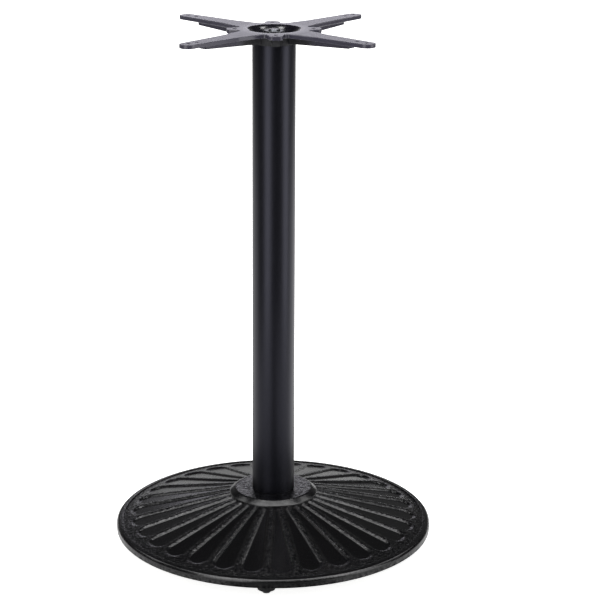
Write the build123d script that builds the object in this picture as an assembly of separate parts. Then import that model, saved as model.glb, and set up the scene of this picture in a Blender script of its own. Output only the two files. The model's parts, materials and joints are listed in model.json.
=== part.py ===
# Round table base: a cast sunburst foot, a tube column and a cast four-arm top, drawn together by a tie rod.
# Millimetres, +Z up. The origin is on the floor, on the axis of the column, and -Y is the front.
import os
from math import atan, cos, degrees, radians, sin, tan

from build123d import *

# Overall sizes
overall_height = 720.0
base_diameter = 440.0

# Levelling feet
foot_count = 4
foot_inset = 29.0
first_foot_angle = -95.0
pad_diameter = 24.0
pad_height = 11.0
pad_dome_radius = 15.0
pad_flat_diameter = 10.0
pad_top_chamfer = 1.0
stud_diameter = 8.0
stud_length = 21.0
stud_seat = 3.0
stud_chamfer = 0.8
foot_rise = 3.5
foot_boss_diameter = 22.0
foot_boss_gap = 5.5

# Rim of the base casting
rim_clearance = 18.0
rim_height = 12.6
rim_wall = 8.0
rim_band = 9.5
rim_crown_drop = 1.4
rim_edge_round = 2.5
rim_foot_round = 1.0
rim_step = 1.35
rim_lip_run = 1.35
rim_lip_drop = 0.45

# Cone and hub of the base casting
cone_slope = 14.2
shell_thickness = 7.5
hub_diameter = 122.0
hub_rise = 7.0
hub_bevel_width = 8.0
hub_bevel_height = 5.8
hub_thickness = 10.0
spigot_height = 6.0
rod_boss_diameter = 44.0
rod_boss_length = 28.0
web_thickness = 8.0
web_edge_inset = 3.0

# Sunburst pockets in the cone
petal_count = 30
petal_border = 11.0
petal_depth = 2.5
petal_wall_run = 3.8
petal_point = 0.6
rib_land = 5.0
first_petal_angle = -88.8

# Column
column_diameter = 58.0
column_wall = 2.0

# Top spider
arm_count = 4
first_arm_angle = 45.0
arm_reach = 171.5
arm_tip_width = 22.5
arm_root_width = 44.5
arm_waist_width = 29.0
arm_waist_radius = 82.0
plate_thickness = 5.4
arm_hole_diameter = 5.5
arm_hole_outer_radius = 159.4
arm_hole_inner_radius = 143.9
arm_rib_width = 12.0
arm_rib_end = 134.0
arm_rib_root_depth = 16.0
arm_rib_end_depth = 10.0
lug_reach = 62.6
lug_tip_width = 17.0
lug_root_width = 30.0
lug_corner_round = 5.5
lug_hole_diameter = 5.5
lug_hole_radius = 52.0
lug_rib_width = 10.0
lug_rib_depth = 14.0
lug_rib_inset = 3.7
crotch_round = 4.6
plate_edge_round = 1.0
collar_diameter = 63.0
collar_height = 18.3
collar_disc_diameter = 82.0
collar_disc_depth = 7.5
socket_depth = 6.3
bowl_mouth_diameter = 72.4
bowl_lip_diameter = 57.5
bowl_lip_depth = 4.6
bowl_throat_diameter = 45.0
bowl_floor_diameter = 40.0
bowl_depth = 22.0
bowl_floor_thickness = 8.0

# Tie rod, nuts and washers
rod_diameter = 16.0
rod_chamfer = 1.2
rod_proud = 2.0
nut_across_flats = 24.0
nut_height = 13.0
nut_chamfer_angle = 30.0
washer_diameter = 30.0
washer_thickness = 3.0
lock_washer_diameter = 27.0
lock_washer_thickness = 3.5
lock_washer_gap = 2.5
lock_washer_gap_angle = 20.0

# Clearances
rod_hole_clearance = 0.5
thread_clearance = 0.05
moulded_clearance = 0.02
spigot_clearance = 0.2
skirt_clearance = 0.1
stud_end_clearance = 0.5
washer_clearance = 0.5

# How far a cut runs past the face it opens, and a boss into the wall it joins
overrun = 1.0

# Heights and radii that several pieces share
base_radius = base_diameter / 2
foot_circle_radius = base_radius - foot_inset
hub_radius = hub_diameter / 2
column_radius = column_diameter / 2
column_bore_radius = column_radius - column_wall
rod_radius = rod_diameter / 2
stud_radius = stud_diameter / 2
cone_angle = radians(cone_slope)
cone_outer_radius = base_radius - rim_band
petal_end_radius = cone_outer_radius - petal_border
rim_top = rim_clearance + rim_height
hub_top = rim_top - rim_step + (cone_outer_radius - hub_radius) * tan(cone_angle) + hub_rise
rod_boss_floor = hub_top - rod_boss_length
collar_floor = overall_height - collar_height
column_top = collar_floor + socket_depth
spigot_radius = column_bore_radius - spigot_clearance
bowl_floor = overall_height - bowl_depth
top_lock_floor = bowl_floor + washer_thickness
top_nut_floor = top_lock_floor + lock_washer_thickness
bottom_washer_floor = rod_boss_floor - washer_thickness
bottom_nut_top = bottom_washer_floor - lock_washer_thickness
rod_top = top_nut_floor + nut_height + rod_proud
rod_floor = bottom_nut_top - nut_height - rod_proud
stud_top = stud_seat + stud_length
foot_boss_floor = pad_height + foot_boss_gap


def cone_height(radius):
    """Height of the land surface of the cone at a radius."""
    return rim_top - rim_step + (cone_outer_radius - radius) * tan(cone_angle)


def turned(*edges):
    """Solid of revolution about Z from a closed run of edges in the XZ plane."""
    return revolve(make_face(Plane.XZ * Curve(list(edges))), Axis.Z)


def path(*points):
    """Straight edges through (radius, height) points."""
    return Polyline(*points).edges()


def bar(radius, floor, top):
    """Round bar on the Z axis between two heights."""
    return Pos(0, 0, floor) * Cylinder(radius, top - floor, align=(Align.CENTER, Align.CENTER, Align.MIN))


def around(count, first_angle):
    """Angles of equal places round the axis."""
    return [first_angle + 360 / count * index for index in range(count)]


def petal_cutter():
    """Solid that sinks one pocket along +X: a flat floor, sloping walls and a round outer end."""
    half_pitch = radians(180 / petal_count)
    apex = Plane(
        origin=(0, 0, cone_height(0)),
        x_dir=(cos(cone_angle), 0, -sin(cone_angle)),
        z_dir=(sin(cone_angle), 0, cos(cone_angle)),
    )
    side = atan(cos(cone_angle) * tan(half_pitch))
    margin = rib_land / 2 + petal_wall_run
    floor_end = petal_end_radius / cos(cone_angle) - petal_wall_run
    centre = (floor_end + margin) / (1 + sin(side))
    round_end = floor_end - centre
    tangent = (centre - round_end * sin(side), round_end * cos(side))
    start = (margin + petal_point / 2) / sin(side)
    start_half = start * tan(side) - margin / cos(side)
    outline = Curve(
        [
            Line((start, -start_half), (tangent[0], -tangent[1])),
            ThreePointArc((tangent[0], -tangent[1]), (floor_end, 0), tangent),
            Line(tangent, (start, start_half)),
            Line((start, start_half), (start, -start_half)),
        ]
    )
    floor = apex.offset(-petal_depth) * make_face(outline)
    wall_lean = degrees(atan(petal_wall_run / petal_depth))
    return extrude(floor, petal_depth + overrun, dir=apex.z_dir, taper=-wall_lean)


def base_shell():
    """Turned body of the casting: rim, cone with a hollow underside, and the boss for the tie rod."""
    inner = base_radius - rim_wall
    crown = base_radius - rim_edge_round
    edge = rim_top - rim_crown_drop - rim_edge_round
    ceiling = hub_top - hub_thickness
    ceiling_rise = ceiling + shell_thickness - cone_height(cone_outer_radius)
    ceiling_radius = cone_outer_radius - ceiling_rise / tan(cone_angle)
    boss = rod_boss_diameter / 2
    bore = rod_radius + rod_hole_clearance
    foot_round = rim_foot_round
    under = path(
        (base_radius - foot_round, rim_clearance),
        (inner, rim_clearance),
        (inner, cone_height(inner) - shell_thickness),
        (ceiling_radius, ceiling),
        (boss, ceiling),
        (boss, rod_boss_floor),
        (bore, rod_boss_floor),
        (bore, cone_height(hub_radius)),
        (hub_radius, cone_height(hub_radius)),
        (cone_outer_radius, cone_height(cone_outer_radius)),
        (cone_outer_radius, rim_top - rim_lip_drop),
        (cone_outer_radius + rim_lip_run, rim_top),
        (crown, rim_top - rim_crown_drop),
    )
    crown_arc = RadiusArc((crown, rim_top - rim_crown_drop), (base_radius, edge), rim_edge_round)
    face = Line((base_radius, edge), (base_radius, rim_clearance + foot_round))
    foot_arc = RadiusArc(
        (base_radius, rim_clearance + foot_round), (base_radius - foot_round, rim_clearance), foot_round
    )
    return turned(*under, crown_arc, face, foot_arc)


def base_hub():
    """Turned hub on top of the cone, with a bevelled shoulder and the spigot that centres the column."""
    bore = rod_radius + rod_hole_clearance
    root = hub_top - hub_thickness
    outline = path(
        (hub_radius, hub_top - hub_bevel_height),
        (hub_radius, cone_height(hub_radius) - petal_depth),
        (hub_radius - hub_thickness, root),
        (bore, root),
        (bore, hub_top + spigot_height),
        (spigot_radius, hub_top + spigot_height),
        (spigot_radius, hub_top),
        (hub_radius - hub_bevel_width, hub_top),
        (hub_radius, hub_top - hub_bevel_height),
    )
    return turned(*outline)


def base_web():
    """Radial web under the cone, from the rod boss to a foot boss, along +X."""
    inner = rod_boss_diameter / 4
    outer = foot_circle_radius
    outline = Polyline(
        (inner, rod_boss_floor + web_edge_inset),
        (outer, foot_boss_floor + web_edge_inset),
        (outer, cone_height(outer) - shell_thickness / 2),
        (hub_radius, cone_height(hub_radius) - shell_thickness / 2),
        (inner, cone_height(hub_radius) - shell_thickness / 2),
        close=True,
    )
    return extrude(Plane.XZ * make_face(outline), web_thickness / 2, both=True)


def base_casting():
    """Cast foot of the table: sunburst cone, rim, hub, and the bosses and webs underneath."""
    body = base_shell()
    cutter = petal_cutter()
    body -= [Rot(0, 0, angle) * cutter for angle in around(petal_count, first_petal_angle)]
    body += base_hub()
    boss_top = cone_height(foot_circle_radius) - shell_thickness / 2
    stud_hole_top = stud_top + foot_rise + stud_end_clearance
    for angle in around(foot_count, first_foot_angle):
        boss = Pos(foot_circle_radius, 0, 0) * bar(foot_boss_diameter / 2, foot_boss_floor, boss_top)
        body += Rot(0, 0, angle) * (boss + base_web())
    for angle in around(foot_count, first_foot_angle):
        hole = bar(stud_radius + thread_clearance, foot_boss_floor - overrun, stud_hole_top)
        body -= Rot(0, 0, angle) * Pos(foot_circle_radius, 0, 0) * hole
    return body - bar(rod_radius + rod_hole_clearance, 0, overall_height)


def column_tube():
    """Round tube that stands on the hub and ends inside the socket of the spider."""
    return bar(column_radius, hub_top, column_top) - bar(column_bore_radius, hub_top, column_top)


def is_crotch(corner):
    """True for a corner of the plan where an arm and a lug meet."""
    return (corner.X**2 + corner.Y**2) ** 0.5 < lug_hole_radius


def spider_outline():
    """Plan of the top plate: four tapered arms with round tips and four short lugs between them."""
    tip = arm_tip_width / 2
    tip_centre = arm_reach - tip
    root = collar_diameter / 2
    arm = make_face(
        Polyline(
            (root, -arm_root_width / 2),
            (arm_waist_radius, -arm_waist_width / 2),
            (tip_centre, -tip),
            (tip_centre, tip),
            (arm_waist_radius, arm_waist_width / 2),
            (root, arm_root_width / 2),
            close=True,
        )
    )
    arm += Pos(tip_centre, 0) * Circle(tip)
    lug = make_face(
        Polyline(
            (root, -lug_root_width / 2),
            (lug_reach, -lug_tip_width / 2),
            (lug_reach, lug_tip_width / 2),
            (root, lug_root_width / 2),
            close=True,
        )
    )
    lug = fillet(lug.vertices().sort_by(Axis.X)[-2:], lug_corner_round)
    plan = Circle(collar_disc_diameter / 2)
    for angle in around(arm_count, first_arm_angle):
        plan += Rot(0, 0, angle) * arm
        plan += Rot(0, 0, angle + 180 / arm_count) * lug
    return fillet(plan.vertices().filter_by(is_crotch), crotch_round)


def spider_holes():
    """Screw holes through the arms and the lugs."""
    holes = []
    for angle in around(arm_count, first_arm_angle):
        for radius in (arm_hole_inner_radius, arm_hole_outer_radius):
            arm_hole = bar(arm_hole_diameter / 2, overall_height / 2, overall_height + overrun)
            holes.append(Rot(0, 0, angle) * Pos(radius, 0, 0) * arm_hole)
        lug_hole = bar(lug_hole_diameter / 2, overall_height / 2, overall_height + overrun)
        holes.append(Rot(0, 0, angle + 180 / arm_count) * Pos(lug_hole_radius, 0, 0) * lug_hole)
    return holes


def spider_rib(reach, root_depth, end_depth, width):
    """Stiffening rib under an arm or a lug, along +X, cut off square at its outer end."""
    outline = Polyline(
        (spigot_radius, overall_height - plate_thickness / 2),
        (reach, overall_height - plate_thickness / 2),
        (reach, overall_height - end_depth),
        (collar_diameter / 2, overall_height - root_depth),
        (spigot_radius, overall_height - root_depth),
        close=True,
    )
    return extrude(Plane.XZ * make_face(outline), width / 2, both=True)


def spider_bowl():
    """Turned hollow of the hub: a wide lip, a throat and a flat floor for the washer."""
    lip_height = overall_height - bowl_lip_depth
    throat_height = lip_height - (bowl_lip_diameter - bowl_throat_diameter) / 2
    return turned(
        *path(
            (0, overall_height + overrun),
            (bowl_mouth_diameter / 2 + overrun, overall_height + overrun),
            (bowl_mouth_diameter / 2, overall_height),
            (bowl_lip_diameter / 2, lip_height),
            (bowl_throat_diameter / 2, throat_height),
            (bowl_floor_diameter / 2, bowl_floor),
            (0, bowl_floor),
            (0, overall_height + overrun),
        )
    )


def top_spider():
    """Cast top: flat arms and lugs on ribs, round a collar that sockets the column and seats the top nut."""
    plate_floor = overall_height - plate_thickness
    body = extrude(Pos(0, 0, plate_floor) * spider_outline(), plate_thickness)
    body = fillet(body.edges().filter_by(Plane.XY), plate_edge_round)
    body += bar(collar_disc_diameter / 2, overall_height - collar_disc_depth, plate_floor)
    body += bar(collar_diameter / 2, collar_floor, plate_floor)
    arm_rib = spider_rib(arm_rib_end, arm_rib_root_depth, arm_rib_end_depth, arm_rib_width)
    lug_rib = spider_rib(lug_reach - lug_rib_inset, lug_rib_depth, lug_rib_depth, lug_rib_width)
    for angle in around(arm_count, first_arm_angle):
        body += Rot(0, 0, angle) * arm_rib
        body += Rot(0, 0, angle + 180 / arm_count) * lug_rib
    socket = bar(column_radius + skirt_clearance, collar_floor - overrun, column_top)
    body -= socket
    body += bar(spigot_radius, bowl_floor - bowl_floor_thickness, column_top + overrun)
    body -= spider_bowl()
    body -= spider_holes()
    return body - bar(rod_radius + rod_hole_clearance, 0, overall_height)


def tie_rod():
    """Threaded rod that draws the spider and the casting on to the ends of the column."""
    rod = bar(rod_radius, rod_floor, rod_top)
    return chamfer(rod.edges().filter_by(GeomType.CIRCLE), rod_chamfer)


def hex_nut(floor):
    """Hexagon nut with both faces turned down at the corners."""
    corner = nut_across_flats / 2 / cos(radians(30))
    prism = extrude(RegularPolygon(corner, 6), nut_height)
    corner_proud = corner - nut_across_flats / 2
    turn_down = corner_proud * tan(radians(nut_chamfer_angle))
    blank = Cylinder(corner, nut_height)
    blank = chamfer(blank.edges().filter_by(GeomType.CIRCLE), turn_down, corner_proud)
    nut = prism & (Pos(0, 0, nut_height / 2) * blank)
    return Pos(0, 0, floor) * nut - bar(rod_radius + thread_clearance, 0, overall_height)


def plain_washer(floor):
    """Flat round washer under a nut."""
    ring = bar(washer_diameter / 2, floor, floor + washer_thickness)
    return ring - bar(rod_radius + washer_clearance, 0, overall_height)


def lock_washer(floor):
    """Split spring washer, closed up flat between a washer and a nut."""
    ring = bar(lock_washer_diameter / 2, 0, lock_washer_thickness)
    split = Box(lock_washer_diameter, lock_washer_gap, lock_washer_diameter)
    split_centre = Pos(lock_washer_diameter / 2, 0, lock_washer_thickness / 2)
    split = split_centre * Rot(lock_washer_gap_angle, 0, 0) * split
    return Pos(0, 0, floor) * (ring - bar(rod_radius + washer_clearance, 0, overall_height) - split)


def foot_pad():
    """Moulded glide with a domed sole, on the Z axis."""
    radius = pad_diameter / 2
    flat = pad_flat_diameter / 2
    sole = pad_dome_radius - (pad_dome_radius**2 - flat**2) ** 0.5
    shoulder = pad_dome_radius - (pad_dome_radius**2 - radius**2) ** 0.5 - sole
    socket = stud_radius + moulded_clearance
    outline = path(
        (radius, shoulder),
        (radius, pad_height - pad_top_chamfer),
        (radius - pad_top_chamfer, pad_height),
        (socket, pad_height),
        (socket, stud_seat),
        (0, stud_seat),
        (0, 0),
        (flat, 0),
    )
    return turned(*outline, RadiusArc((flat, 0), (radius, shoulder), pad_dome_radius))


def foot_stud():
    """Threaded stud of a levelling foot, on the Z axis."""
    stud = bar(stud_radius, stud_seat, stud_top)
    return chamfer(stud.edges().group_by(Axis.Z)[-1], stud_chamfer)


def all_pieces():
    """Every piece of the assembly by name, in its place."""
    pieces = {
        "base_casting": base_casting(),
        "column_tube": column_tube(),
        "top_spider": top_spider(),
        "tie_rod": tie_rod(),
        "top_washer": plain_washer(bowl_floor),
        "top_lock_washer": lock_washer(top_lock_floor),
        "top_nut": hex_nut(top_nut_floor),
        "bottom_washer": plain_washer(bottom_washer_floor),
        "bottom_lock_washer": lock_washer(bottom_nut_top),
        "bottom_nut": hex_nut(bottom_nut_top - nut_height),
    }
    for index, angle in enumerate(around(foot_count, first_foot_angle), start=1):
        place = Rot(0, 0, angle) * Pos(foot_circle_radius, 0, 0)
        pieces[f"foot_pad_{index}"] = place * foot_pad()
        pieces[f"foot_stud_{index}"] = place * foot_stud()
    return pieces


os.makedirs("parts", exist_ok=True)
for name, piece in all_pieces().items():
    export_step(piece, f"parts/{name}.step")
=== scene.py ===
# Finished surfaces of the round table base: a cast sunburst foot, a tube column and a cast top spider.
import json
from math import atan, atan2, cos, exp, hypot, log, pi, radians, sin, sqrt, tan, tau

import bmesh
import bpy
from bpy.props import FloatProperty, FloatVectorProperty, IntProperty, PointerProperty
from bpy.types import Operator, Panel, PropertyGroup
from mathutils import Matrix, Vector


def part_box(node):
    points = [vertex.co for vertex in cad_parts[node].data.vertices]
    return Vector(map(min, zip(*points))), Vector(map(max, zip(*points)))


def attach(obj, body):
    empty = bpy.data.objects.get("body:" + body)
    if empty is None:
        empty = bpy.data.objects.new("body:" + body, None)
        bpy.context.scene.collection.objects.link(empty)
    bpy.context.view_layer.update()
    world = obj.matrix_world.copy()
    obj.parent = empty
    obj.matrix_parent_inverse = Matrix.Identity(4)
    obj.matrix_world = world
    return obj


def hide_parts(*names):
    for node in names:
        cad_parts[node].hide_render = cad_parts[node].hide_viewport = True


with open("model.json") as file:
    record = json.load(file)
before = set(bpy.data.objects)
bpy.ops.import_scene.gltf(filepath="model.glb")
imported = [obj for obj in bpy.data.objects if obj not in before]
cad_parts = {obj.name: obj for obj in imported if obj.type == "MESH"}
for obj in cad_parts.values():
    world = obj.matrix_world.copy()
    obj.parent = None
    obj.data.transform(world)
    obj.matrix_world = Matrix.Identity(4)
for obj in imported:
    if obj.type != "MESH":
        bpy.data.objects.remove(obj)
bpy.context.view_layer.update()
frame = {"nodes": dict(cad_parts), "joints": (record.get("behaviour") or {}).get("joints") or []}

bl_info = {
    "name": "Round Table Base",
    "version": (1, 0, 0),
    "blender": (4, 5, 0),
    "location": "3D View > Sidebar > Table Base",
    "description": "Builds the finished surfaces of a cast round table base round its solids",
    "category": "Object",
}

MM = 0.001
WELD = 0.002 * MM
SHARP_ANGLE = radians(32)

# Places that the solids give
CASTING_LOW, CASTING_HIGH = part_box("base_casting")
COLUMN_LOW, COLUMN_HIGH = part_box("column_tube")
ROD_LOW, ROD_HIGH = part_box("tie_rod")
SPIDER_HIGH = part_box("top_spider")[1]
FEET = [joint["child"] for joint in frame["joints"]]

# Shares of a rib's half width, of a pocket's wall and of its floor where the sector mesh has lines along the rib
LAND_LINES = (0.0, 0.5, 0.8)
WALL_LINES = (0.0, 0.1, 0.25, 0.5, 0.75, 0.9, 1.0)
FLOOR_LINES = (0.04, 0.2, 1.0)
STRAIGHT_ROWS = 9
FLANK_RAYS = 6

# Roundings of the casting's edges
STEP_ROUND = 0.2 * MM
BORE_ROUND = 0.3 * MM
STUD_HOLE_ROUND = 0.4 * MM
INNER_ROUND = 0.8 * MM
EDGE_ROUND = 1.0 * MM
SHOULDER_ROUND = 1.5 * MM
BOSS_ROOT_ROUND = 3.0 * MM
CEILING_ROUND = 4.0 * MM

# Fineness of round shapes, and the share of its pitch by which a thread stands out from its bar
OUTLINE_STEPS = 5
EDGE_STEPS = 3
COLUMN_SEGMENTS = 192
BAR_SEGMENTS = 48
BOSS_SEGMENTS = 40
FLOOR_SEGMENTS = 96
THREAD_STEPS = 24
THREAD_DEPTH = 0.55


def linear(hex_colour):
    """Linear colour of an sRGB hex value."""
    channels = [int(hex_colour[at:at + 2], 16) / 255 for at in (1, 3, 5)]
    return [c / 12.92 if c <= 0.04045 else ((c + 0.055) / 1.055) ** 2.4 for c in channels] + [1.0]


def length(name, description, millimetres):
    """Length property with its default in millimetres."""
    return FloatProperty(name=name, description=description, default=millimetres * MM, unit="LENGTH", precision=5)


def angular(name, description, degrees):
    """Angle property with its default in degrees."""
    return FloatProperty(name=name, description=description, default=radians(degrees), subtype="ANGLE")


def colour(name, description, hex_colour):
    """Colour property with its default as an sRGB hex value."""
    return FloatVectorProperty(
        name=name, description=description, size=4, subtype="COLOR", min=0.0, max=1.0, default=linear(hex_colour)
    )


class CastingSizes(PropertyGroup):
    """Sizes of the sunburst casting."""

    petal_count: IntProperty(name="Pockets", description="Number of pockets in the sunburst", default=30, min=8)
    petal_depth: length("Pocket depth", "Depth of a pocket's floor under its ribs", 2.5)
    petal_border: length("Pocket border", "Width of the ring between the pockets and the rim", 11.0)
    wall_run: length("Wall run", "Width of a pocket's sloping wall", 3.8)
    rib_land: length("Rib width", "Width of the flat on top of a rib", 5.0)
    lip_softness: length("Lip softness", "Rounding that the coat gives a pocket's upper edge", 0.4)
    root_softness: length("Root softness", "Rounding that the coat gives a pocket's lower edge", 0.08)
    cone_slope: angular("Slope", "Slope of the cone", 14.2)
    rim_floor: length("Rim clearance", "Height of the rim's lower edge", 18.0)
    rim_top: length("Rim top", "Height of the rim's inner edge", 30.6)
    rim_step: length("Rim step", "Height of the rim's inner edge over the cone", 1.35)
    step_run: length("Step run", "Width of the rim's step, seen from above", 0.05)
    rim_band: length("Rim band", "Width of the rim, seen from above", 9.5)
    rim_wall: length("Rim wall", "Thickness of the rim", 8.0)
    rim_fall: length("Rim fall", "How far the rim's top falls to its outer edge", 2.0)
    rim_bevel: length("Rim bevel", "Bevel of the rim's outer edge", 2.4)
    shell: length("Shell", "Thickness of the cone", 7.5)
    hub_radius: length("Hub radius", "Radius of the hub that carries the column", 61.0)
    hub_bevel_width: length("Bevel width", "Width of the hub's bevelled shoulder", 8.0)
    hub_bevel_height: length("Bevel height", "Height of the hub's bevelled shoulder", 5.8)
    hub_thickness: length("Hub thickness", "Thickness of the hub over the hollow", 10.0)
    spigot_radius: length("Spigot radius", "Radius of the spigot inside the column", 26.8)
    boss_radius: length("Boss radius", "Radius of the boss for the tie rod", 22.0)
    boss_length: length("Boss length", "Height of the hub's top over the boss's seat", 28.0)
    bore_radius: length("Bore radius", "Radius of the hole for the tie rod", 8.5)
    foot_circle: length("Foot circle", "Distance of a foot from the column's axis", 191.0)
    foot_boss_radius: length("Foot boss radius", "Radius of the boss that takes a foot", 11.0)
    foot_boss_floor: length("Foot boss floor", "Height of the foot boss's seat", 16.5)
    stud_hole_radius: length("Stud hole radius", "Radius of the hole for a foot's stud", 4.05)
    stud_hole_relief: length("Stud hole relief", "How much wider a stud's hole is over its boss", 0.2)
    stud_hole_top: length("Stud hole top", "Height of the end of a stud's hole", 28.0)
    web_thickness: length("Web thickness", "Thickness of the webs in the hollow", 8.0)
    web_inset: length("Web inset", "Height of a web's lower edge over the seats of its bosses", 3.0)
    first_foot: angular("First foot", "Angle of a foot", -95.0)
    first_petal: angular("First pocket", "Angle of a pocket", -88.8)
    edge_grain: FloatProperty(
        name="Edge grain", description="Grain left on the edges of rim and hub", default=0.15, min=0.0, max=1.0
    )


class HardwareSizes(PropertyGroup):
    """Sizes of the column, the tie rod and the studs of the feet."""

    column_wall: length("Column wall", "Wall thickness of the column tube", 2.0)
    column_edge: length("Column edge", "Rounding of the cut ends of the column", 0.4)
    rod_pitch: length("Rod pitch", "Pitch of the tie rod's thread", 2.0)
    rod_thread: length("Rod thread", "Threaded length at each end of the tie rod", 60.0)
    stud_pitch: length("Stud pitch", "Pitch of a stud's thread", 1.25)
    end_chamfer: length("End chamfer", "Chamfer on the ends of rod and studs", 0.9)


class Finishes(PropertyGroup):
    """Colours of the finishes."""

    cast_black: colour("Casting", "Black coat of the casting", "#08080a")
    column_black: colour("Column", "Black coat of the column", "#050508")
    column_sheen: colour("Column sheen", "Tint of the column's reflections", "#e6e6ff")
    spider_grey: colour("Spider", "Dark paint of the top spider", "#363440")
    # Painted shade of the spider: a black for its bowl and the underside of its plate
    spider_black: colour("Spider hub", "Painted shade in the spider's bowl and under its plate", "#0a0912")
    zinc: colour("Zinc", "Bright zinc plate", "#686a6e")
    plastic: colour("Glides", "Black plastic of the feet", "#0d0d0e")
    floor: colour("Floor", "Pale studio floor", "#f4f4f3")


class StageSettings(PropertyGroup):
    """Camera and light of the studio."""

    camera_distance: length("Camera distance", "Distance from the axis", 2735.5)
    camera_height: length("Camera height", "Height over the floor", 1177.0)
    camera_turn: angular("Camera turn", "Turn round the column", -2.32)
    camera_pitch: angular("Camera pitch", "Tilt downwards", 16.877)
    camera_yaw: angular("Camera yaw", "Turn to the right", 0.755)
    camera_roll: angular("Camera roll", "Turn about the view", 0.318)
    lens: FloatProperty(name="Lens", description="Focal length in millimetres", default=125.49)
    floor_radius: length("Floor radius", "Radius of the floor", 16000.0)
    floor_glow: FloatProperty(name="Floor glow", description="Light that the floor gives", default=1.0, min=0.0)
    room_light: FloatProperty(name="Room", description="Light in dark reflections", default=0.04, min=0.0)
    fill_light: FloatProperty(name="Fill", description="Light from all sides on matt surfaces", default=0.6, min=0.0)
    sun_light: FloatProperty(name="Sun", description="Strength of the soft sun", default=2.5, min=0.0)
    sun_spread: angular("Sun spread", "Softness of the sun", 44.0)
    sun_tilt: angular("Sun tilt", "Tilt to the front", 12.0)


class TableBaseSettings(PropertyGroup):
    """Everything that the panel shows."""

    casting: PointerProperty(type=CastingSizes)
    hardware: PointerProperty(type=HardwareSizes)
    finishes: PointerProperty(type=Finishes)
    stage: PointerProperty(type=StageSettings)


def add(tree, kind, inputs=None, **fields):
    """Adds a node to a tree. Inputs are values, or the outputs of other nodes to link from, by socket."""
    node = tree.nodes.new(kind)
    for field, value in fields.items():
        setattr(node, field, value)
    for socket, value in (inputs or {}).items():
        if isinstance(value, bpy.types.NodeSocket):
            tree.links.new(value, node.inputs[socket])
        else:
            node.inputs[socket].default_value = value
    return node


def placed(name, data):
    """Object of some data, in the scene."""
    made = bpy.data.objects.new(name, data)
    bpy.context.scene.collection.objects.link(made)
    return made


# Materials


def new_material(name):
    """Material with an empty node tree, and the object's coordinates in metres."""
    material = bpy.data.materials.new(name)
    material.use_nodes = True
    tree = material.node_tree
    tree.nodes.clear()
    return material, tree, add(tree, "ShaderNodeTexCoord").outputs["Object"]


def mottled(tree, place, patch_size, detail, colour_value, darkest):
    """Colour that cloudy patches darken to a share of itself, and the patches."""
    patches = add(tree, "ShaderNodeTexNoise", {"Vector": place, "Scale": 1 / patch_size, "Detail": detail})
    tone = add(
        tree,
        "ShaderNodeMix",
        {"Factor": patches.outputs["Fac"], "A": colour_value, "B": [darkest * c for c in colour_value]},
        data_type="RGBA",
    )
    return tone.outputs["Result"], patches.outputs["Fac"]


def surface(tree, inputs):
    """Gives a material's tree its one shader, with inputs that are values or linked."""
    shader = add(tree, "ShaderNodeBsdfPrincipled", inputs)
    add(tree, "ShaderNodeOutputMaterial", {"Surface": shader.outputs["BSDF"]})


def cast_coat(finishes):
    """Black powder coat on sand-cast iron: it covers the sand's grain as a pebbled skin that breaks up reflections
    on the ribs, the rim and the hub, and lies smoother and glossier in the pockets."""
    material, tree, place = new_material("black_powder_coat_on_cast_iron")
    # Sand leaves a grain of about half a millimetre, which is finer than a pixel, so it is drawn coarser
    relief_depth = 0.4 * MM
    pebble_size = 2.4 * MM
    pore_size = 1.3 * MM
    speck_size = 3.8 * MM
    cloud_size = 60 * MM
    grain = add(tree, "ShaderNodeAttribute", attribute_name="grain").outputs["Fac"]
    tone, _ = mottled(tree, place, cloud_size, 3.0, finishes.cast_black, 0.35)
    pebbles = add(tree, "ShaderNodeTexVoronoi", {"Vector": place, "Scale": 1 / pebble_size}, feature="SMOOTH_F1")
    pores = add(tree, "ShaderNodeTexNoise", {"Vector": place, "Scale": 1 / pore_size, "Detail": 2.0})
    relief = add(tree, "ShaderNodeMath", {0: pores.outputs["Fac"], 1: 0.5}, operation="MULTIPLY")
    relief = add(tree, "ShaderNodeMath", {0: pebbles.outputs["Distance"], 1: relief.outputs[0]}, operation="ADD")
    strength = add(tree, "ShaderNodeMapRange", {"Value": grain, "To Min": 0.08, "To Max": 1.0})
    bump = add(
        tree,
        "ShaderNodeBump",
        {"Height": relief.outputs[0], "Strength": strength.outputs["Result"], "Distance": relief_depth},
    )
    gloss = add(tree, "ShaderNodeMapRange", {"Value": grain, "To Min": 0.2, "To Max": 0.25})
    specks = add(tree, "ShaderNodeTexNoise", {"Vector": place, "Scale": 1 / speck_size, "Detail": 1.0})
    pits = add(
        tree,
        "ShaderNodeMapRange",
        {"Value": specks.outputs["Fac"], "From Min": 0.35, "From Max": 0.65, "To Min": 0.05, "To Max": 0.9},
    )
    sheen = add(tree, "ShaderNodeMix", {"Factor": grain, "A": 0.5, "B": pits.outputs["Result"]})
    surface(
        tree,
        {
            "IOR": 1.45,
            "Base Color": tone,
            "Roughness": gloss.outputs["Result"],
            "Specular IOR Level": sheen.outputs["Result"],
            "Normal": bump.outputs["Normal"],
        },
    )
    return material


def column_coat(finishes):
    """Satin black powder coat on drawn tube: a faint orange peel that softens the edges of long reflections."""
    material, tree, place = new_material("satin_black_powder_coat")
    peel_depth = 0.05 * MM
    peel_size = 2.2 * MM
    cloud_size = 90 * MM
    peel = add(tree, "ShaderNodeTexNoise", {"Vector": place, "Scale": 1 / peel_size, "Detail": 1.0})
    tone, clouds = mottled(tree, place, cloud_size, 2.0, finishes.column_black, 0.6)
    gloss = add(tree, "ShaderNodeMapRange", {"Value": clouds, "To Min": 0.33, "To Max": 0.4})
    bump = add(tree, "ShaderNodeBump", {"Height": peel.outputs["Fac"], "Strength": 0.25, "Distance": peel_depth})
    surface(
        tree,
        {
            "IOR": 1.45,
            "Specular Tint": finishes.column_sheen,
            "Base Color": tone,
            "Roughness": gloss.outputs["Result"],
            "Normal": bump.outputs["Normal"],
        },
    )
    return material


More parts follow.
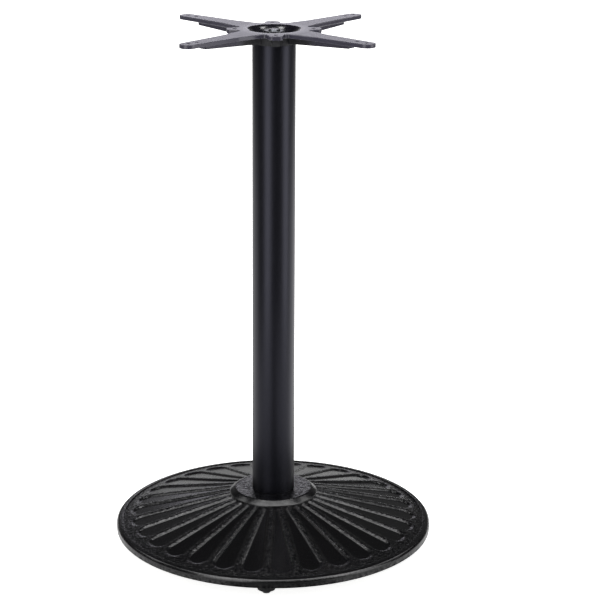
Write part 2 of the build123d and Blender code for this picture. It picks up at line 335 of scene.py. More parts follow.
def spider_paint(finishes):
    """Dark satin paint on a cast spider: a violet grey on the arms, where the coat is fine and the casting's pits
    show.
    Black is painted into the bowl and under the plate as painted shade: glossy in the bowl, where a bump rounds the
    lip, and dull on the collar and the ribs of the lugs under the plate."""
    material, tree, place = new_material("dark_satin_paint_on_casting")
    pit_depth = 0.1 * MM
    pit_size = 1.6 * MM
    cloud_size = 25 * MM
    painted_shade_radius = 33 * MM
    painted_shade_fade = 22 * MM
    painted_shade_spread = 26 * MM
    skirt_radius = 30 * MM
    lip_inner = 28.75 * MM
    lip_outer = 36.2 * MM
    lip_bulge = 0.31 * MM
    plate_thickness = 5.4 * MM
    plate_floor = SPIDER_HIGH.z - plate_thickness
    pits = add(tree, "ShaderNodeTexNoise", {"Vector": place, "Scale": 1 / pit_size, "Detail": 3.0})
    grey, _ = mottled(tree, place, cloud_size, 2.0, finishes.spider_grey, 0.7)
    plan = add(tree, "ShaderNodeVectorMath", {0: place, 1: (1, 1, 0)}, operation="MULTIPLY").outputs["Vector"]
    radius = add(tree, "ShaderNodeVectorMath", {0: plan}, operation="LENGTH").outputs["Value"]
    height = add(tree, "ShaderNodeSeparateXYZ", {0: place}).outputs["Z"]
    under = add(
        tree,
        "ShaderNodeMapRange",
        {"Value": height, "From Min": plate_floor - MM, "From Max": plate_floor, "To Min": 1.0, "To Max": 0.0},
    ).outputs["Result"]
    # Painted shade: the colour turns black in the bowl and, further out, under the plate, then fades to the grey of
    # the arms
    reach = add(tree, "ShaderNodeMath", {0: under, 1: -painted_shade_spread, 2: radius}, operation="MULTIPLY_ADD").outputs[0]
    clear_of_painted_shade = add(
        tree,
        "ShaderNodeMapRange",
        {"Value": reach, "From Min": painted_shade_radius, "From Max": painted_shade_radius + painted_shade_fade},
        interpolation_type="SMOOTHSTEP",
    ).outputs["Result"]
    tone = add(tree, "ShaderNodeMix", {"Factor": clear_of_painted_shade, "A": finishes.spider_black, "B": grey}, data_type="RGBA")
    outside = add(tree, "ShaderNodeMath", {0: radius, 1: skirt_radius}, operation="GREATER_THAN").outputs[0]
    skirt = add(tree, "ShaderNodeMath", {0: under, 1: outside}, operation="MULTIPLY").outputs[0]
    dull = add(tree, "ShaderNodeMapRange", {"Value": skirt, "To Min": 0.18, "To Max": 0.6}).outputs["Result"]
    gloss = add(tree, "ShaderNodeMapRange", {"Value": clear_of_painted_shade, "To Min": dull, "To Max": 0.26})
    slope = add(
        tree,
        "ShaderNodeMapRange",
        {"Value": radius, "From Min": lip_inner, "From Max": lip_outer, "To Min": -1.0, "To Max": 1.0},
    ).outputs["Result"]
    hollow = add(tree, "ShaderNodeMath", {0: slope, 1: slope}, operation="MULTIPLY").outputs[0]
    swell = add(tree, "ShaderNodeMath", {0: 1.0, 1: hollow}, operation="SUBTRACT").outputs[0]
    lip = add(tree, "ShaderNodeBump", {"Height": swell, "Strength": 1.0, "Distance": lip_bulge}).outputs["Normal"]
    bump = add(
        tree,
        "ShaderNodeBump",
        {"Height": pits.outputs["Fac"], "Strength": 0.16, "Distance": pit_depth, "Normal": lip},
    )
    surface(
        tree,
        {
            "IOR": 1.5,
            "Base Color": tone.outputs["Result"],
            "Roughness": gloss.outputs["Result"],
            "Normal": bump.outputs["Normal"],
        },
    )
    return material


def zinc_plate(finishes):
    """Bright zinc plate on turned steel: a pale blue-white metal with cloudy patches of duller passivation."""
    material, tree, place = new_material("bright_zinc_plate")
    cloud_size = 6 * MM
    tone, clouds = mottled(tree, place, cloud_size, 4.0, finishes.zinc, 0.7)
    gloss = add(tree, "ShaderNodeMapRange", {"Value": clouds, "To Min": 0.18, "To Max": 0.38})
    surface(tree, {"Metallic": 1.0, "Base Color": tone, "Roughness": gloss.outputs["Result"]})
    return material


def glide_plastic(finishes):
    """Moulded black polyethylene: a waxy dark surface with the fine spark grain of its mould."""
    material, tree, place = new_material("moulded_black_polyethylene")
    spark_depth = 0.05 * MM
    spark_size = 0.5 * MM
    tone, sparks = mottled(tree, place, spark_size, 2.0, finishes.plastic, 0.6)
    gloss = add(tree, "ShaderNodeMapRange", {"Value": sparks, "To Min": 0.4, "To Max": 0.55})
    bump = add(tree, "ShaderNodeBump", {"Height": sparks, "Strength": 0.3, "Distance": spark_depth})
    surface(
        tree,
        {"IOR": 1.51, "Base Color": tone, "Roughness": gloss.outputs["Result"], "Normal": bump.outputs["Normal"]},
    )
    return material


# Node trees that repeat or sweep


def new_tree(name, count, *measures):
    """Geometry tree that takes a mesh, a material, a count and some measures by these names."""
    tree = bpy.data.node_groups.new(name, "GeometryNodeTree")
    sockets = {"Geometry": "Geometry", "Material": "Material", count: "Int", **dict.fromkeys(measures, "Float")}
    for socket, kind in sockets.items():
        tree.interface.new_socket(socket, in_out="INPUT", socket_type=f"NodeSocket{kind}")
    tree.interface.new_socket("Geometry", in_out="OUTPUT", socket_type="NodeSocketGeometry")
    return tree, add(tree, "NodeGroupInput").outputs


def copies_tree():
    """Tree that sets copies of a mesh round Z, welds them to each other and gives them a material."""
    tree, given = new_tree("copies_round_axis", "Count", "First Angle", "Weld Distance")
    points = add(tree, "GeometryNodeMeshLine", {"Count": given["Count"], "Offset": (0, 0, 0)})
    index = add(tree, "GeometryNodeInputIndex").outputs["Index"]
    pitch = add(tree, "ShaderNodeMath", {0: tau, 1: given["Count"]}, operation="DIVIDE").outputs[0]
    turn = add(tree, "ShaderNodeMath", {0: index, 1: pitch, 2: given["First Angle"]}, operation="MULTIPLY_ADD")
    rotation = add(tree, "ShaderNodeCombineXYZ", {"Z": turn.outputs[0]}).outputs["Vector"]
    copies = add(
        tree,
        "GeometryNodeInstanceOnPoints",
        {"Points": points.outputs["Mesh"], "Instance": given["Geometry"], "Rotation": rotation},
    )
    real = add(tree, "GeometryNodeRealizeInstances", {"Geometry": copies.outputs["Instances"]})
    weld = add(
        tree,
        "GeometryNodeMergeByDistance",
        {"Geometry": real.outputs["Geometry"], "Distance": given["Weld Distance"]},
    )
    finish = add(
        tree, "GeometryNodeSetMaterial", {"Geometry": weld.outputs["Geometry"], "Material": given["Material"]}
    )
    add(tree, "NodeGroupOutput", {"Geometry": finish.outputs["Geometry"]})
    return tree


def thread_tree():
    """Tree that sweeps a V-shaped ridge along a helix up from a height and adds it to the bar that it is given."""
    tree, given = new_tree("thread_on_bar", "Steps per Turn", "Crest Radius", "Pitch", "Turns", "Start Height")
    ridge = add(tree, "ShaderNodeMath", {0: given["Pitch"], 1: 0.5}, operation="MULTIPLY").outputs[0]
    middle = add(tree, "ShaderNodeMath", {0: given["Crest Radius"], 1: ridge}, operation="SUBTRACT").outputs[0]
    rise = add(tree, "ShaderNodeMath", {0: given["Pitch"], 1: given["Turns"]}, operation="MULTIPLY").outputs[0]
    helix = add(
        tree,
        "GeometryNodeCurveSpiral",
        {
            "Resolution": given["Steps per Turn"],
            "Rotations": given["Turns"],
            "Start Radius": middle,
            "End Radius": middle,
            "Height": rise,
        },
    )
    upright = add(tree, "GeometryNodeSetCurveNormal", {"Curve": helix.outputs["Curve"]}, mode="Z_UP")
    section = add(tree, "GeometryNodeCurvePrimitiveCircle", {"Resolution": 4, "Radius": ridge})
    sweep = add(
        tree,
        "GeometryNodeCurveToMesh",
        {"Curve": upright.outputs["Curve"], "Profile Curve": section.outputs["Curve"], "Fill Caps": True},
    )
    lift = add(tree, "ShaderNodeCombineXYZ", {"Z": given["Start Height"]}).outputs["Vector"]
    raised = add(tree, "GeometryNodeTransform", {"Geometry": sweep.outputs["Mesh"], "Translation": lift})
    whole = add(tree, "GeometryNodeJoinGeometry")
    tree.links.new(raised.outputs["Geometry"], whole.inputs["Geometry"])
    tree.links.new(given["Geometry"], whole.inputs["Geometry"])
    real = add(tree, "GeometryNodeRealizeInstances", {"Geometry": whole.outputs["Geometry"]})
    finish = add(
        tree, "GeometryNodeSetMaterial", {"Geometry": real.outputs["Geometry"], "Material": given["Material"]}
    )
    add(tree, "NodeGroupOutput", {"Geometry": finish.outputs["Geometry"]})
    return tree


def finished(seed, modifier):
    """Plain mesh that a modifier makes of an object, which is then removed."""
    depsgraph = bpy.context.evaluated_depsgraph_get()
    result = bpy.data.meshes.new_from_object(seed.evaluated_get(depsgraph))
    seed.modifiers.remove(modifier)
    bpy.data.objects.remove(seed)
    return result


def grown(tree, mesh, values):
    """Plain mesh that a node tree makes from a mesh, with the tree's inputs given by name."""
    seed = placed(mesh.name, mesh)
    modifier = seed.modifiers.new(tree.name, "NODES")
    modifier.node_group = tree
    for item in tree.interface.items_tree:
        if item.in_out == "INPUT" and item.name in values:
            modifier[item.identifier] = values[item.name]
    return finished(seed, modifier)


def drilled(mesh, cutter):
    """Plain mesh that is left when a closed cutter is taken out of a closed mesh."""
    body = placed(mesh.name, mesh)
    drill = placed(cutter.name, cutter)
    modifier = body.modifiers.new("holes", "BOOLEAN")
    modifier.operation = "DIFFERENCE"
    modifier.solver = "EXACT"
    modifier.object = drill
    result = finished(body, modifier)
    bpy.data.objects.remove(drill)
    return result


# Mesh helpers


def rounded(corners, steps):
    """Outline through (radius, height, rounding) corners, each drawn as a smooth curve as long as its rounding."""
    points = []
    for index, (radius, height, rounding) in enumerate(corners):
        corner = Vector((radius, height))
        if rounding == 0:
            points.append(corner)
            continue
        before = Vector(corners[index - 1][:2])
        after = Vector(corners[(index + 1) % len(corners)][:2])
        start = corner + (before - corner).normalized() * rounding
        end = corner + (after - corner).normalized() * rounding
        for step in range(steps + 1):
            share = step / steps
            near = start.lerp(corner, share)
            far = corner.lerp(end, share)
            points.append(near.lerp(far, share))
    return points


def turned_mesh(name, outline, segments):
    """Closed mesh turned about Z from a closed outline of radii and heights."""
    bm = bmesh.new()
    rings = []
    for step in range(segments):
        angle = tau * step / segments
        rings.append([bm.verts.new((r * cos(angle), r * sin(angle), z)) for r, z in outline])
    for near, far in zip(rings, rings[1:] + rings[:1]):
        for at in range(len(outline)):
            ahead = (at + 1) % len(outline)
            bm.faces.new((near[at], far[at], far[ahead], near[ahead]))
    return closed_mesh(name, bm)


def closed_mesh(name, bm):
    """Mesh of a closed shell, welded, with its faces turned outwards and its sharp edges kept."""
    bmesh.ops.remove_doubles(bm, verts=bm.verts, dist=WELD)
    bmesh.ops.dissolve_degenerate(bm, edges=bm.edges, dist=WELD)
    bmesh.ops.recalc_face_normals(bm, faces=bm.faces)
    mesh = bpy.data.meshes.new(name)
    bm.to_mesh(mesh)
    bm.free()
    shade(mesh)
    return mesh


def shade(mesh):
    """Smooth shading with sharp edges where faces meet at an angle."""
    mesh.shade_smooth()
    mesh.set_sharp_from_angle(angle=SHARP_ANGLE)


def put(name, mesh, material, body, slot, *nodes):
    """Puts a mesh in the scene as a piece that rides on a body and stands for its solids."""
    mesh.materials.clear()
    mesh.materials.append(material)
    piece = placed(name, mesh)
    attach(piece, body)
    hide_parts(*nodes)


def dress(material, *nodes):
    """Gives solids that keep their own shape a material."""
    for node in nodes:
        mesh = frame["nodes"][node].data
        mesh.materials.clear()
        mesh.materials.append(material)


# Sunburst casting


def soft_ramp(distance, run, lip, root):
    """Share of a slope of some run that is climbed at a distance from its start, with rounded ends."""
    start = lip * log(1 + exp(distance / lip))
    end = root * log(1 + exp((distance - run) / root))
    return (start - end) / run


def crossing(a, b, c):
    """Larger root of a·x² + 2·b·x + c."""
    return (-b + sqrt(b * b - a * c)) / a


class Sunburst:
    """Rule of the relief: pockets between radial ribs, drawn in the sloping plane of one pocket along +X."""

    def __init__(self, sizes):
        self.sizes = sizes
        self.flat = cos(sizes.cone_slope)
        self.cone_radius = CASTING_HIGH.x - sizes.rim_band
        self.half_pitch = pi / sizes.petal_count
        self.side = atan(self.flat * tan(self.half_pitch))
        self.half_land = sizes.rib_land / 2
        self.floor_edge = self.half_land + sizes.wall_run
        floor_end = (self.cone_radius - sizes.petal_border) / self.flat - sizes.wall_run
        self.centre = (floor_end + self.floor_edge) / (1 + sin(self.side))
        self.reach = self.centre * sin(self.side)

    def land(self, radius):
        """Height of the ribs at a radius."""
        foot = self.sizes.rim_top - self.sizes.rim_step
        return foot + (self.cone_radius - radius) * tan(self.sizes.cone_slope)

    def point(self, along, across, inset):
        """Point of the relief, and how much of the grain it shows, from its place in the plane and its inset from
        the middle of the rib."""
        x = along * self.flat
        s = self.sizes
        sunk = soft_ramp(inset - self.half_land, s.wall_run, s.lip_softness, s.root_softness)
        land = self.land(hypot(x, across))
        floor = self.land(x) - s.petal_depth / self.flat
        return Vector((x, across, land + (floor - land) * sunk)), 1 - sunk

    def start_of(self, inset):
        """Distance along the rib at which a line of some inset leaves the hub."""
        wide = sin(self.side)
        deep = cos(self.side)
        squeeze = self.flat**2
        a = squeeze * deep**2 + wide**2
        b = inset * (squeeze - 1) * wide * deep
        c = inset**2 * (squeeze * wide**2 + deep**2) - self.sizes.hub_radius**2
        return crossing(a, b, c)

    def lines(self):
        """Insets of the lines along the rib, at the hub and at the round end."""
        hub_axis = self.sizes.hub_radius / self.flat * sin(self.side)
        fixed = [self.half_land * share for share in LAND_LINES]
        fixed += [self.half_land + self.sizes.wall_run * share for share in WALL_LINES]
        pairs = [(inset, inset) for inset in fixed]
        for share in FLOOR_LINES:
            at_hub = self.floor_edge + (hub_axis - self.floor_edge) * share
            at_end = self.floor_edge + (self.reach - self.floor_edge) * share
            pairs.append((at_hub, at_end))
        return pairs

    def straight_column(self, share):
        """Points across half a pocket, part of the way from the hub to the round end."""
        column = []
        for at_hub, at_end in self.lines():
            inset = at_hub + (at_end - at_hub) * share
            start = self.start_of(at_hub)
            place = start + (self.centre * cos(self.side) - start) * share
            along = place * cos(self.side) + inset * sin(self.side)
            across = place * sin(self.side) - inset * cos(self.side)
            column.append(self.point(along, across, inset))
        return column

    def edge_distance(self, angle, corner):
        """Distance from the centre of the round end to the edge of the sector, or to the rim, at an angle."""
        if angle > corner:
            return self.reach / cos(pi / 2 + self.side - angle)
        squeeze = self.flat**2
        a = squeeze * cos(angle) ** 2 + sin(angle) ** 2
        b = self.centre * squeeze * cos(angle)
        c = self.centre**2 * squeeze - self.cone_radius**2
        return crossing(a, b, c)

    def ray_column(self, angle, corner):
        """Points from the edge of the sector to the centre of the round end, at an angle about that centre."""
        lip = self.reach - self.half_land
        edge = self.edge_distance(angle, corner)
        column = []
        for _, inset in self.lines():
            distance = self.reach - inset
            if inset < self.half_land:
                distance = lip + (edge - lip) * (1 - inset / self.half_land)
            along = self.centre + distance * cos(angle)
            column.append(self.point(along, distance * sin(angle), self.reach - distance))
        return column

    def half_columns(self):
        """Columns of points of half a sector, from the hub round to its axis, and which is the first at the rim."""
        across = self.cone_radius * sin(self.half_pitch)
        along = self.cone_radius * cos(self.half_pitch) / self.flat
        corner = atan2(across, along - self.centre)
        flank = pi / 2 + self.side
        columns = [self.straight_column(row / STRAIGHT_ROWS) for row in range(STRAIGHT_ROWS + 1)]
        for ray in range(1, FLANK_RAYS + 1):
            columns.append(self.ray_column(flank + (corner - flank) * ray / FLANK_RAYS, corner))
        rim_start = len(columns) - 1
        rim_rays = len(self.lines()) - 1
        for ray in range(1, rim_rays + 1):
            columns.append(self.ray_column(corner * (1 - ray / rim_rays), corner))
        return columns, rim_start

    def section(self):
        """Outline of the casting from the rim over its outside, its hollow, its bore and its spigot to the hub."""
        s = self.sizes
        outer = CASTING_HIGH.x
        inner = outer - s.rim_wall
        hub_top = COLUMN_LOW.z
        ceiling = hub_top - s.hub_thickness
        ceiling_radius = self.cone_radius - (ceiling + s.shell - self.land(self.cone_radius)) / tan(s.cone_slope)
        boss_floor = hub_top - s.boss_length
        corners = [
            (self.cone_radius, self.land(self.cone_radius), 0),
            (self.cone_radius + s.step_run, s.rim_top, STEP_ROUND),
            (outer - s.rim_bevel, s.rim_top - s.rim_fall * (1 - s.rim_bevel / s.rim_band), EDGE_ROUND),
            (outer, s.rim_top - s.rim_fall - s.rim_bevel, EDGE_ROUND),
            (outer, s.rim_floor, EDGE_ROUND),
            (inner, s.rim_floor, INNER_ROUND),
            (inner, self.land(inner) - s.shell, INNER_ROUND),
            (ceiling_radius, ceiling, CEILING_ROUND),
            (s.boss_radius, ceiling, BOSS_ROOT_ROUND),
            (s.boss_radius, boss_floor, EDGE_ROUND),
            (s.bore_radius, boss_floor, BORE_ROUND),
            (s.bore_radius, CASTING_HIGH.z, BORE_ROUND),
            (s.spigot_radius, CASTING_HIGH.z, INNER_ROUND),
            (s.spigot_radius, hub_top, 0),
            (s.hub_radius - s.hub_bevel_width, hub_top, SHOULDER_ROUND),
            (s.hub_radius, hub_top - s.hub_bevel_height, EDGE_ROUND),
            (s.hub_radius, self.land(s.hub_radius), 0),
        ]
        return rounded(corners, OUTLINE_STEPS)[1:-1]

    def edge_grain(self, radius, height):
        """Grain at a place of the outline: worn smooth on the outer edge of the rim and the shoulder of the hub."""
        s = self.sizes
        worn = 1.5 * s.rim_bevel
        on_rim = radius > CASTING_HIGH.x - worn and height > s.rim_top - s.rim_fall - worn
        on_hub = s.hub_radius - s.hub_bevel_width <= radius <= s.hub_radius and height > self.land(s.hub_radius)
        return s.edge_grain if on_rim or on_hub else 1.0

    def sector_mesh(self):
        """One slice of the casting, from the middle of a rib to the middle of the next."""
        columns, rim_start = self.half_columns()
        bm = bmesh.new()
        grain = bm.verts.layers.float.new("grain")

        def vertex(place, amount):
            made = bm.verts.new(place)
            made[grain] = amount
            return made

        def strip(near, far):
            for at in range(len(near) - 1):
                bm.faces.new((near[at], far[at], far[at + 1], near[at + 1]))

        hub_ring = []
        rim_ring = []
        for mirror in (1, -1):
            grid = [[vertex((p.x, mirror * p.y, p.z), g) for p, g in column] for column in columns]
            for near, far in zip(grid, grid[1:]):
                strip(near, far)
            hub = grid[0]
            rim = [column[0] for column in grid[rim_start:]]
            hub_ring += hub if mirror > 0 else hub[-2::-1]
            rim_ring += rim if mirror > 0 else rim[-2::-1]
        inner = CASTING_HIGH.x - self.sizes.rim_wall
        rows = [rim_ring]
        for radius, height in self.section():
            share = min(max((inner - radius) / (inner - self.sizes.hub_radius), 0), 1)
            amount = self.edge_grain(radius, height)
            row = []
            for outer_end, inner_end in zip(rim_ring, hub_ring):
                outer_turn = atan2(outer_end.co.y, outer_end.co.x)
                turn = outer_turn + (atan2(inner_end.co.y, inner_end.co.x) - outer_turn) * share
                row.append(vertex((radius * cos(turn), radius * sin(turn), height), amount))
            rows.append(row)
        rows.append(hub_ring)
        for near, far in zip(rows, rows[1:]):
            strip(near, far)
        bmesh.ops.remove_doubles(bm, verts=bm.verts, dist=WELD)
        mesh = bpy.data.meshes.new("casting_sector")
        bm.to_mesh(mesh)
        bm.free()
        return mesh

    def foot_boss_mesh(self):
        """Boss for a foot and the web that ties it to the boss of the tie rod, along +X."""
        s = self.sizes
        bm = bmesh.new()
        boss_top = self.land(s.foot_circle) - s.shell / 2
        inner = s.boss_radius / 2
        boss_floor = COLUMN_LOW.z - s.boss_length
        outer = s.foot_circle - s.foot_boss_radius / 2
        web_top = self.land(s.hub_radius) - s.shell / 2
        web = [
            (inner, boss_floor + s.web_inset),
            (outer, s.foot_boss_floor + s.web_inset),
            (outer, boss_top),
            (s.hub_radius, web_top),
            (inner, web_top),
        ]
        sides = [[bm.verts.new((x, y, z)) for x, z in web] for y in (-s.web_thickness / 2, s.web_thickness / 2)]
        bm.faces.new(sides[0])
        bm.faces.new(sides[1][::-1])
        for at in range(len(web)):
            ahead = (at + 1) % len(web)
            bm.faces.new((sides[0][at], sides[1][at], sides[1][ahead], sides[0][ahead]))
        bmesh.ops.recalc_face_normals(bm, faces=bm.faces)
        bmesh.ops.bevel(bm, geom=bm.edges, offset=EDGE_ROUND, segments=2, affect="EDGES", profile=0.5)
        boss = turned_mesh(
            "foot_boss",
            rounded(
                [
                    (s.stud_hole_radius, s.foot_boss_floor, STUD_HOLE_ROUND),
                    (s.foot_boss_radius, s.foot_boss_floor, EDGE_ROUND),
                    (s.foot_boss_radius, boss_top, 0),
                    (s.stud_hole_radius, boss_top, 0),
                ],
                EDGE_STEPS,
            ),
            BOSS_SEGMENTS,
        )
        boss.transform(Matrix.Translation((s.foot_circle, 0, 0)))
        mesh = bpy.data.meshes.new("foot_boss_and_web")
        bm.to_mesh(mesh)
        # The bevel leaves gaps that the boss would fill in another order at each run
        bm.clear()
        grain = bm.verts.layers.float.new("grain")
        bm.from_mesh(mesh)
        bm.from_mesh(boss)
        bpy.data.meshes.remove(boss)
        for each in bm.verts:
            each[grain] = 1.0
        bm.to_mesh(mesh)
        bm.free()
        return mesh

    def stud_hole_mesh(self):
        """Cutter for the end of a foot's hole, in the skin over its boss, along +X."""
        s = self.sizes
        radius = s.stud_hole_radius + s.stud_hole_relief
        low, high = s.foot_boss_floor, s.stud_hole_top
        cutter = turned_mesh("stud_hole", [(0, low), (radius, low), (radius, high), (0, high)], BOSS_SEGMENTS)
        cutter.transform(Matrix.Translation((s.foot_circle, 0, 0)))
        return cutter


class TABLEBASE_OT_casting(Operator):
    """Casts the foot: a sunburst of pockets, a rim and a hub, with bosses and webs underneath"""

    bl_idname = "tablebase.casting"
    bl_label = "Sunburst Casting"

    def execute(self, context):
        settings = context.scene.table_base
        sizes = settings.casting
        rule = Sunburst(sizes)
        coat = cast_coat(settings.finishes)
        tree = copies_tree()
        shared = {"Weld Distance": WELD, "Material": coat}
        at_petals = {"Count": sizes.petal_count, "First Angle": sizes.first_petal, **shared}
        at_feet = {"Count": len(FEET), "First Angle": sizes.first_foot, **shared}
        skin = grown(tree, rule.sector_mesh(), at_petals)
        bosses = grown(tree, rule.foot_boss_mesh(), at_feet)
        holes = grown(tree, rule.stud_hole_mesh(), at_feet)
        bm = bmesh.new()
        bm.from_mesh(skin)
        bmesh.ops.recalc_face_normals(bm, faces=bm.faces)
        bm.to_mesh(skin)
        bm.clear()
        bm.from_mesh(drilled(skin, holes))
        bm.from_mesh(bosses)
        mesh = bpy.data.meshes.new("sunburst_casting")
        bm.to_mesh(mesh)
        bm.free()
        shade(mesh)
        put("sunburst_casting", mesh, coat, "frame", "cast_iron_black", "base_casting")
        return {"FINISHED"}


class TABLEBASE_OT_column(Operator):
    """Cuts the column tube, with its ends eased"""

    bl_idname = "tablebase.column"
    bl_label = "Column"

    def execute(self, context):
        settings = context.scene.table_base
        sizes = settings.hardware
        outer = COLUMN_HIGH.x
        inner = outer - sizes.column_wall
        edge = sizes.column_edge
        outline = rounded(
            [
                (outer, COLUMN_LOW.z, edge),
                (outer, COLUMN_HIGH.z, edge),
                (inner, COLUMN_HIGH.z, edge),
                (inner, COLUMN_LOW.z, edge),
            ],
            EDGE_STEPS,
        )
        mesh = turned_mesh("column", outline, COLUMN_SEGMENTS)
        put("column", mesh, column_coat(settings.finishes), "frame", "column_black", "column_tube")
        return {"FINISHED"}


class TABLEBASE_OT_spider(Operator):
    """Paints the top spider"""

    bl_idname = "tablebase.spider"
    bl_label = "Top Spider"

    def execute(self, context):
        settings = context.scene.table_base
        dress(spider_paint(settings.finishes), "top_spider")
        return {"FINISHED"}


def threaded_bar(name, tree, low, high, radius, axis, pitch, chamfer, starts, material):
    """Bar along Z with threads: starts lists (height, length) of each threaded end."""
    core = radius - pitch * THREAD_DEPTH
    outline = [(0, low), (core - chamfer, low), (core, low + chamfer)]
    outline += [(core, high - chamfer), (core - chamfer, high), (0, high)]
    if len(starts) > 1:
        plain_low, plain_high = sum(starts[0]), starts[-1][0]
        ease = radius - core
        outline[3:3] = [
            (core, plain_low), (radius, plain_low + ease), (radius, plain_high - ease), (core, plain_high)
        ]
    mesh = turned_mesh(name, outline, BAR_SEGMENTS)
    for start, run in starts:
        mesh = grown(
            tree,
            mesh,
            {
                "Crest Radius": radius,
                "Pitch": pitch,
                "Turns": (run - pitch) / pitch,
                "Start Height": start + pitch / 2,
                "Steps per Turn": THREAD_STEPS,
                "Material": material,
            },
        )
    mesh.transform(Matrix.Translation(axis))
    shade(mesh)
    return mesh


class TABLEBASE_OT_hardware(Operator):
    """Threads the tie rod and plates it with its nuts and washers"""

    bl_idname = "tablebase.hardware"
    bl_label = "Tie Rod, Nuts and Washers"

    def execute(self, context):
        settings = context.scene.table_base
        sizes = settings.hardware
        zinc = zinc_plate(settings.finishes)
        run = sizes.rod_thread
        mesh = threaded_bar(
            "threaded_tie_rod", thread_tree(), ROD_LOW.z, ROD_HIGH.z, ROD_HIGH.x, (0, 0, 0), sizes.rod_pitch,
            sizes.end_chamfer, [(ROD_LOW.z, run), (ROD_HIGH.z - run, run)], zinc,
        )
        put("threaded_tie_rod", mesh, zinc, "frame", "zinc_steel", "tie_rod")
        ends = [f"{end}_{piece}" for end in ("top", "bottom") for piece in ("washer", "lock_washer", "nut")]
        dress(zinc, *ends)
        return {"FINISHED"}


class TABLEBASE_OT_feet(Operator):
    """Threads the studs of the levelling feet and finishes their glides"""

    bl_idname = "tablebase.feet"
    bl_label = "Levelling Feet"

    def execute(self, context):
        settings = context.scene.table_base
        sizes = settings.hardware
        zinc = bpy.data.materials["bright_zinc_plate"]
        tree = bpy.data.node_groups["thread_on_bar"]
        for foot in FEET:
            node = foot.replace("foot", "foot_stud")
            low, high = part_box(node)
            middle = (low + high) / 2
            mesh = threaded_bar(
                f"threaded_{node}", tree, low.z, high.z, (high.x - low.x) / 2, (middle.x, middle.y, 0),
                sizes.stud_pitch, sizes.end_chamfer, [(low.z, high.z - low.z)], zinc,
            )
            put(f"threaded_{node}", mesh, zinc, foot, "zinc_steel", node)
        dress(glide_plastic(settings.finishes), *[foot.replace("foot", "foot_pad") for foot in FEET])
        return {"FINISHED"}


# Stage


WHITE = "#ffffff"
VIOLET_WHITE = "#f4f1ff"

# Lights that reflections show: name, place, point that it faces, width and height, radiance, and colour if not white
PANELS = (
    ("overhead_panel", (0, -0.75, 2.4), (0, -0.75, 0), (4.4, 1.8), 4.4),
    ("left_bowl_panel", (-0.411, 0.397, 2.32), (0, 0, 0.715), (0.3, 0.3), 14.0),
    ("right_bowl_panel", (0.66, 0.61, 2.32), (0, 0, 0.715), (0.3, 0.3), 11.0),
    ("left_rim_panel", (-1.67, 0.58, 1.45), (-0.15, -0.15, 0.03), (0.9, 0.9), 2.8),
    ("right_rim_panel", (1.67, 0.58, 1.45), (0.15, -0.15, 0.03), (0.9, 0.9), 2.8),
    ("low_backdrop", (0, 3.2, 0.4), (0, 0, 0.4), (1.2, 0.8), 0.5),
    ("high_backdrop", (0, 3.2, 1.05), (0, 0, 1.05), (1.4, 0.5), 1.75, VIOLET_WHITE),
    ("upper_backdrop", (0, 3.2, 1.85), (0, 0, 1.85), (1.2, 1.1), 0.2),
    ("wide_backdrop", (0, 3.25, 1.2), (0, 0, 1.2), (5.0, 2.4), 0.08),
    ("left_strip", (-0.503, -0.746, 0.8), (0, 0, 0.8), (0.5, 1.6), 2.6),
    ("right_strip", (0.8, -0.413, 0.8), (0, 0, 0.8), (0.5, 1.6), 2.5),
    ("front_floor_glow", (0, -0.35, 0.0005), (0, -0.35, 1), (0.2, 0.8), 0.3),
    ("front_left_glow", (-0.425, -0.35, 0.0005), (-0.425, -0.35, 1), (0.65, 0.8), 1.0),
    ("front_right_glow", (0.425, -0.35, 0.0005), (0.425, -0.35, 1), (0.65, 0.8), 1.0),
    ("middle_floor_glow", (0, 2.27, 0.0005), (0, 2.27, 1), (0.5, 4.44), 0.35),
    ("left_floor_glow", (-1.625, 2.27, 0.0005), (-1.625, 2.27, 1), (2.75, 4.44), 1.25),
    ("right_floor_glow", (1.625, 2.27, 0.0005), (1.625, 2.27, 1), (2.75, 4.44), 1.6),
)


def panel_light(name, place, aim, size, radiance, hex_colour=WHITE):
    """Soft rectangular light that only shows in glossy reflections."""
    light = bpy.data.lights.new(name, "AREA")
    light.shape = "RECTANGLE"
    light.size, light.size_y = size
    light.color = linear(hex_colour)[:3]
    light.energy = radiance * pi * size[0] * size[1]
    lamp = placed(name, light)
    lamp.location = place
    lamp.rotation_euler = (Vector(aim) - Vector(place)).to_track_quat("-Z", "Y").to_euler()
    lamp.visible_camera = False
    lamp.visible_diffuse = False


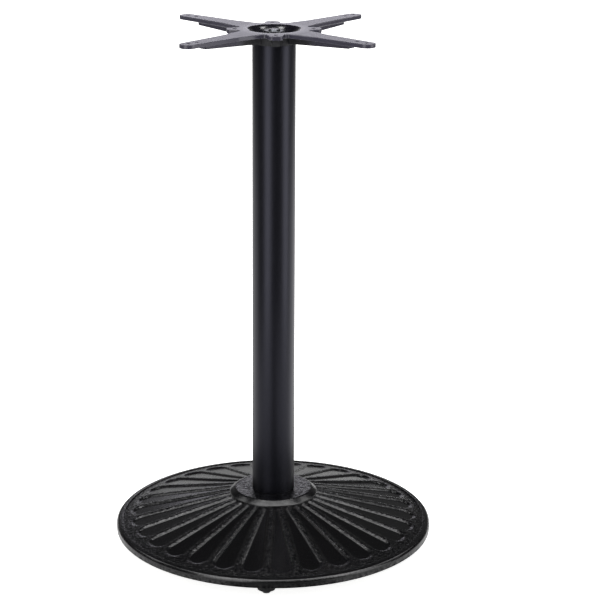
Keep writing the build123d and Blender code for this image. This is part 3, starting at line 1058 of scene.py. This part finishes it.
class TABLEBASE_OT_stage(Operator):
    """Lays the pale floor, hangs the studio lights and sets up the camera"""

    bl_idname = "tablebase.stage"
    bl_label = "Studio"

    def execute(self, context):
        settings = context.scene.table_base
        stage = settings.stage
        self.lay_floor(settings)
        self.hang_lights(stage)
        self.set_camera(context, stage)
        context.scene.view_settings.view_transform = "Standard"
        return {"FINISHED"}

    def lay_floor(self, settings):
        """Lays a floor of lit white acrylic, which shows no grain and only a faint shadow."""
        bm = bmesh.new()
        bmesh.ops.create_circle(bm, cap_ends=True, radius=settings.stage.floor_radius, segments=FLOOR_SEGMENTS)
        mesh = bpy.data.meshes.new("studio_floor")
        bm.to_mesh(mesh)
        bm.free()
        material, tree, _ = new_material("lit_white_acrylic")
        pale = settings.finishes.floor
        glow = settings.stage.floor_glow
        surface(tree, {"Base Color": pale, "Roughness": 0.9, "Emission Color": pale, "Emission Strength": glow})
        mesh.materials.append(material)
        floor = placed("studio_floor", mesh)
        floor.visible_glossy = False

    def hang_lights(self, stage):
        """Hangs a backdrop that only the camera sees, a soft sun for matt surfaces and panels for glossy ones."""
        world = bpy.data.worlds.new("studio")
        bpy.context.scene.world = world
        world.use_nodes = True
        tree = world.node_tree
        tree.nodes.clear()
        room, fill, backdrop = [
            add(tree, "ShaderNodeBackground", {"Color": (1, 1, 1, 1), "Strength": level}).outputs[0]
            for level in (stage.room_light, stage.fill_light, 1.0)
        ]
        ray = add(tree, "ShaderNodeLightPath").outputs
        lit = add(tree, "ShaderNodeMixShader", {0: ray["Is Diffuse Ray"], 1: room, 2: fill})
        both = add(tree, "ShaderNodeMixShader", {0: ray["Is Camera Ray"], 1: lit.outputs[0], 2: backdrop})
        add(tree, "ShaderNodeOutputWorld", {"Surface": both.outputs[0]})
        sun = bpy.data.lights.new("soft_sun", "SUN")
        sun.energy = stage.sun_light
        sun.angle = stage.sun_spread
        lamp = placed("soft_sun", sun)
        lamp.rotation_euler = (stage.sun_tilt, 0, 0)
        lamp.visible_glossy = False
        for panel in PANELS:
            panel_light(*panel)

    def set_camera(self, context, stage):
        """Sets the camera at the angle of the photograph."""
        data = bpy.data.cameras.new("camera")
        data.sensor_width = 36
        data.lens = stage.lens
        data.clip_end = 100
        camera = placed("camera", data)
        turn = Matrix.Rotation(stage.camera_turn, 3, "Z")
        camera.location = turn @ Vector((0, -stage.camera_distance, stage.camera_height))
        facing = Matrix.Rotation(stage.camera_turn - stage.camera_yaw, 3, "Z")
        facing @= Matrix.Rotation(pi / 2 - stage.camera_pitch, 3, "X")
        facing @= Matrix.Rotation(stage.camera_roll, 3, "Z")
        camera.rotation_euler = facing.to_euler()
        context.scene.camera = camera


OPERATORS = (
    TABLEBASE_OT_casting,
    TABLEBASE_OT_column,
    TABLEBASE_OT_spider,
    TABLEBASE_OT_hardware,
    TABLEBASE_OT_feet,
    TABLEBASE_OT_stage,
)


class TABLEBASE_PT_panel(Panel):
    """Lists the pieces of the table base and their sizes"""

    bl_idname = "TABLEBASE_PT_panel"
    bl_label = "Round Table Base"
    bl_space_type = "VIEW_3D"
    bl_region_type = "UI"
    bl_category = "Table Base"

    def draw(self, context):
        """Draws a button for each piece, and the sizes and colours."""
        settings = context.scene.table_base
        for operator in OPERATORS:
            self.layout.operator(operator.bl_idname)
        for group in (settings.casting, settings.hardware, settings.finishes, settings.stage):
            box = self.layout.box()
            for name in group.__annotations__:
                box.prop(group, name)


CLASSES = (
    CastingSizes, HardwareSizes, Finishes, StageSettings, TableBaseSettings, *OPERATORS, TABLEBASE_PT_panel
)


def register():
    """Registers the classes and the settings."""
    for each in CLASSES:
        bpy.utils.register_class(each)
    bpy.types.Scene.table_base = PointerProperty(type=TableBaseSettings)


def unregister():
    """Takes the settings and the classes away again."""
    del bpy.types.Scene.table_base
    for each in reversed(CLASSES):
        bpy.utils.unregister_class(each)


def main():
    """Builds every piece and the stage."""
    register()
    bpy.ops.tablebase.casting()
    bpy.ops.tablebase.column()
    bpy.ops.tablebase.spider()
    bpy.ops.tablebase.hardware()
    bpy.ops.tablebase.feet()
    bpy.ops.tablebase.stage()


if __name__ == "__main__":
    main()
